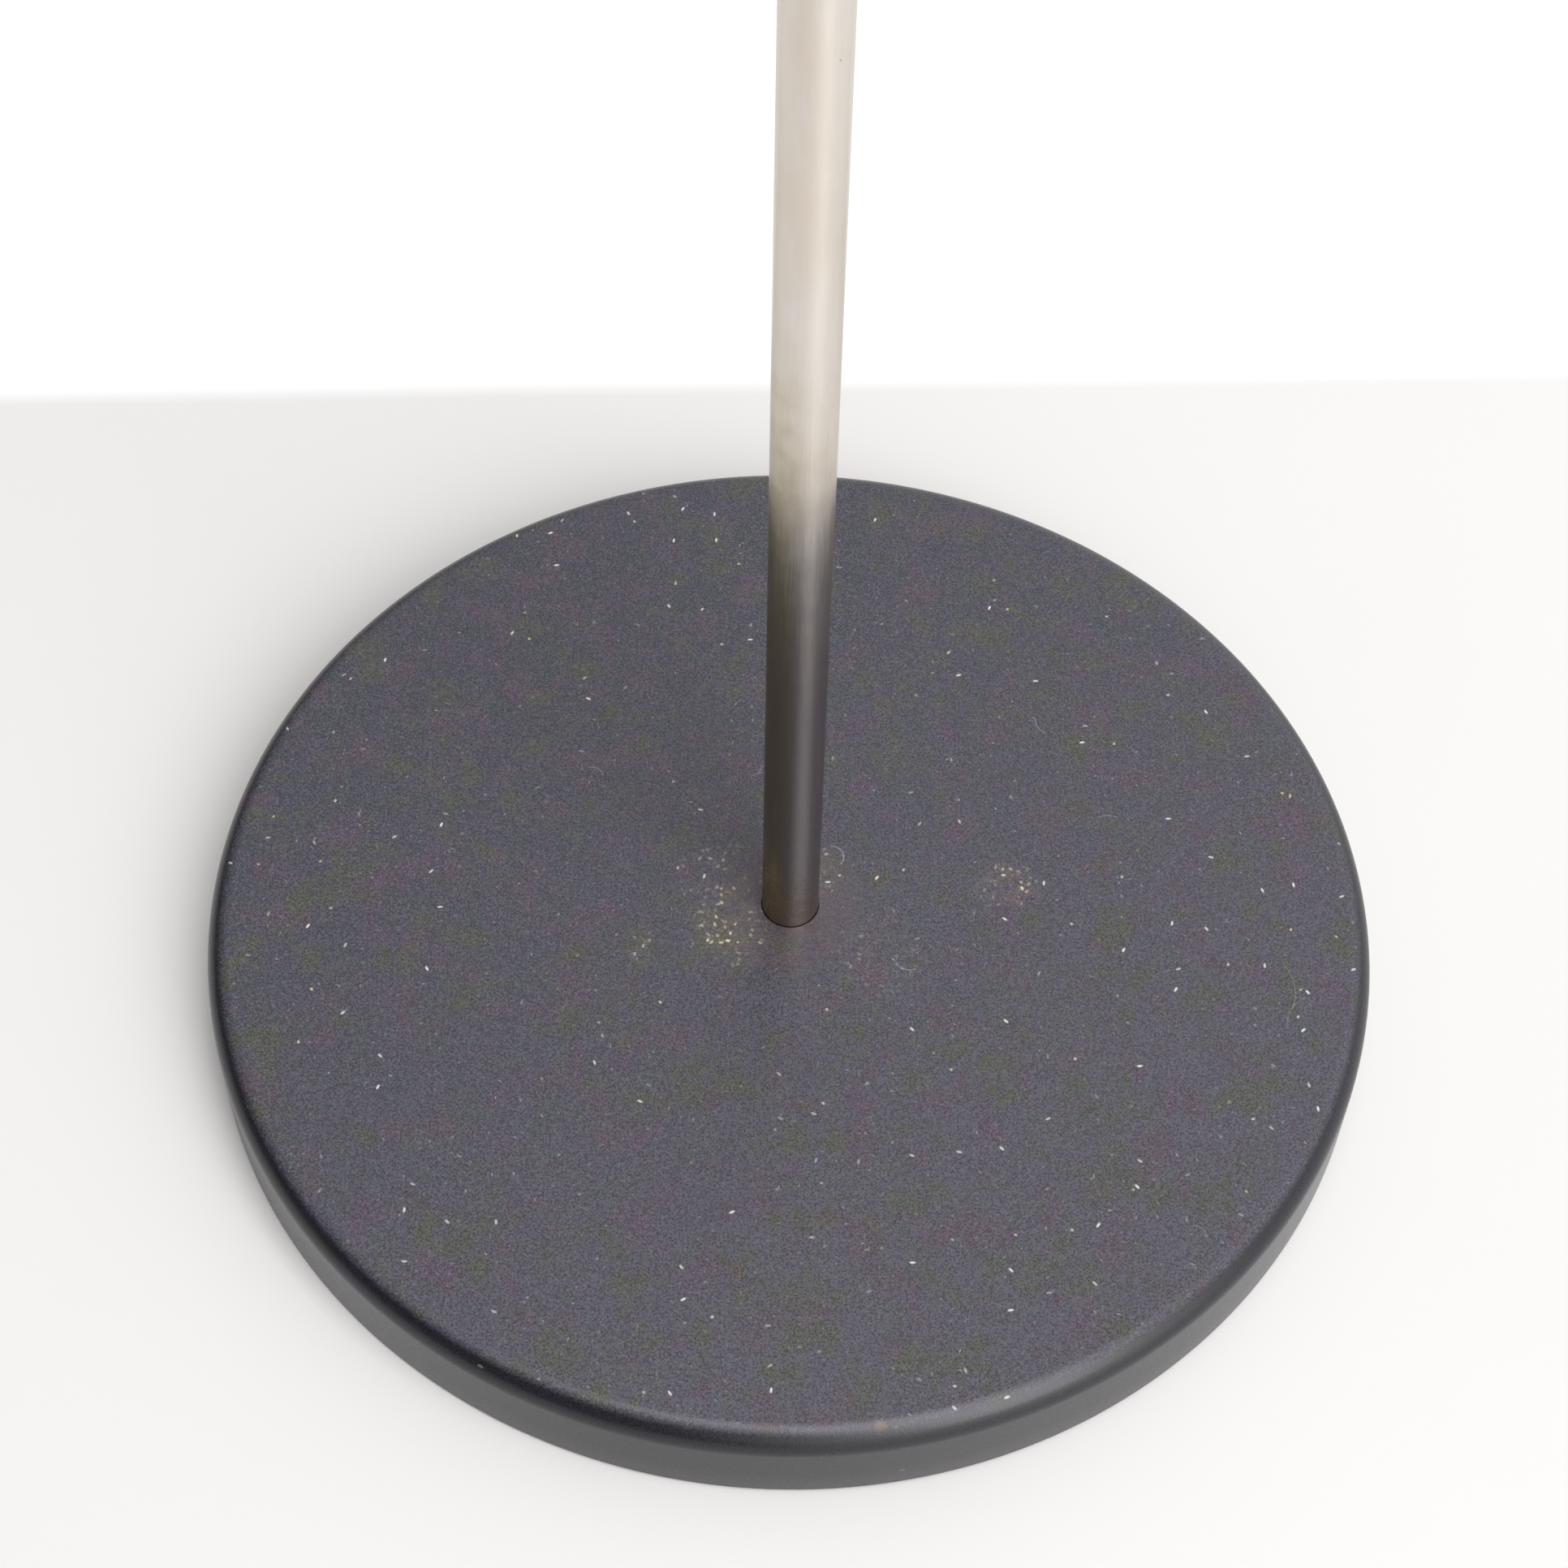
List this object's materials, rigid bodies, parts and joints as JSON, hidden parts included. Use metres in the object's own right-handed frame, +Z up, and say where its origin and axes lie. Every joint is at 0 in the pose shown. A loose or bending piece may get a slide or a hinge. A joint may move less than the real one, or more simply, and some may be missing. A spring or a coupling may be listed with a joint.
{
  "type": "tension pole lamp",
  "caption": "Slim spring-tensioned floor-to-ceiling pole lamp on a wide weighted disc, with swivelling spotlight heads, a rotary switch and a telescopic top.",
  "frame": {"origin": "on the floor, on the pole's axis, at the centre of the felt pad's underside", "axes": "+Z up along the pole, +X to the right and -Y towards the viewer, where the switch knob faces"},
  "size_m": [0.4357, 0.4141, 2.443],
  "materials": {
    "black_enamel": "fine textured satin enamel, black",
    "cast_concrete": "raw cast concrete",
    "felt": "pressed felt",
    "zinc_steel": "zinc plated",
    "satin_nickel": "satin nickel plate",
    "switch_plastic": "moulded, fine matt",
    "rubber_black": "soft matt rubber",
    "phenolic": "moulded phenolic",
    "nylon_white": "natural nylon",
    "brass": "turned brass",
    "shade_enamel": "satin enamel, black outside, white inside",
    "bulb_glass": "opal glass",
    "cap_metal": "rolled screw cap",
    "spring_steel": "oiled spring wire",
    "rod_chrome": "polished"
  },
  "bodies": {
    "pole": {"base_shell": "black_enamel", "base_weight": "cast_concrete", "felt_pad": "felt", "base_stud": "zinc_steel", "base_nut": "zinc_steel", "base_washer": "zinc_steel", "cord_grommet": "rubber_black", "foot_plug": "zinc_steel", "lower_tube": "satin_nickel", "lower_coupler": "satin_nickel", "middle_tube": "satin_nickel", "upper_coupler": "satin_nickel", "upper_tube": "satin_nickel", "head_boss_1": "satin_nickel", "head_boss_2": "satin_nickel", "head_boss_3": "satin_nickel", "nipple_nuts": "brass", "switch_front": "switch_plastic", "switch_rear": "switch_plastic", "switch_unit": "phenolic", "switch_nut": "satin_nickel", "guide_bush": "nylon_white", "clamp_collar": "satin_nickel"},
    "knob": {"switch_knob": "switch_plastic"},
    "clamp": {"clamp_screw": "satin_nickel"},
    "slider": {"sliding_tube": "satin_nickel", "slider_guide": "nylon_white", "spring_seat": "satin_nickel", "tension_spring": "spring_steel"},
    "plunger": {"plunger_rod": "rod_chrome", "plunger_stop": "brass", "ceiling_cup": "satin_nickel", "ceiling_pad": "rubber_black"},
    "swivel_1": {"fork_1": "satin_nickel", "pin_1": "zinc_steel", "pin_nut_1": "zinc_steel"},
    "head_1": {"socket_cup_1": "shade_enamel", "lamp_holder_1": "phenolic", "shade_1": "shade_enamel", "shade_ring_1": "phenolic", "bulb_cap_1": "cap_metal", "bulb_1": "bulb_glass"},
    "swivel_2": {"fork_2": "satin_nickel", "pin_2": "zinc_steel", "pin_nut_2": "zinc_steel"},
    "head_2": {"socket_cup_2": "shade_enamel", "lamp_holder_2": "phenolic", "shade_2": "shade_enamel", "shade_ring_2": "phenolic", "bulb_cap_2": "cap_metal", "bulb_2": "bulb_glass"},
    "swivel_3": {"fork_3": "satin_nickel", "pin_3": "zinc_steel", "pin_nut_3": "zinc_steel"},
    "head_3": {"socket_cup_3": "shade_enamel", "lamp_holder_3": "phenolic", "shade_3": "shade_enamel", "shade_ring_3": "phenolic", "bulb_cap_3": "cap_metal", "bulb_3": "bulb_glass"}
  },
  "joints": [
    {"name": "switch_turn", "type": "hinge", "parent": "pole", "child": "knob", "pos_m": [0, -0.0315, 0.88], "axis": [0, -1, 0], "continuous": true},
    {"name": "clamp_turn", "type": "hinge", "parent": "pole", "child": "clamp", "pos_m": [0.02, 0, 2.1095], "axis": [1, 0, 0], "range_deg": [0, 360]},
    {"name": "height_adjust", "type": "slide", "parent": "pole", "child": "slider", "axis": [0, 0, 1], "range_m": [-0.08, 0.08]},
    {"name": "ceiling_press", "type": "slide", "parent": "slider", "child": "plunger", "axis": [0, 0, 1], "range_m": [-0.045, 0], "stiffness_N_per_m": 1500, "springref_m": 0.025, "deforming": ["tension_spring"]},
    {"name": "head_1_roll", "type": "hinge", "parent": "pole", "child": "swivel_1", "pos_m": [0.03, 0, 1.16], "axis": [1, 0, 0], "range_deg": [-170, 170]},
    {"name": "head_1_tilt", "type": "hinge", "parent": "swivel_1", "child": "head_1", "pos_m": [0.048, 0, 1.16], "axis": [0, -1, 0], "range_deg": [-40, 120]},
    {"name": "head_2_roll", "type": "hinge", "parent": "pole", "child": "swivel_2", "pos_m": [-0.03, 0, 1.51], "axis": [-1, 0, 0], "range_deg": [-170, 170]},
    {"name": "head_2_tilt", "type": "hinge", "parent": "swivel_2", "child": "head_2", "pos_m": [-0.048, 0, 1.51], "axis": [0, 1, 0], "range_deg": [-60, 100]},
    {"name": "head_3_roll", "type": "hinge", "parent": "pole", "child": "swivel_3", "pos_m": [0, -0.03, 1.86], "axis": [0, -1, 0], "range_deg": [-170, 170]},
    {"name": "head_3_tilt", "type": "hinge", "parent": "swivel_3", "child": "head_3", "pos_m": [0, -0.048, 1.86], "axis": [-1, 0, 0], "range_deg": [-115, 45]}
  ]
}
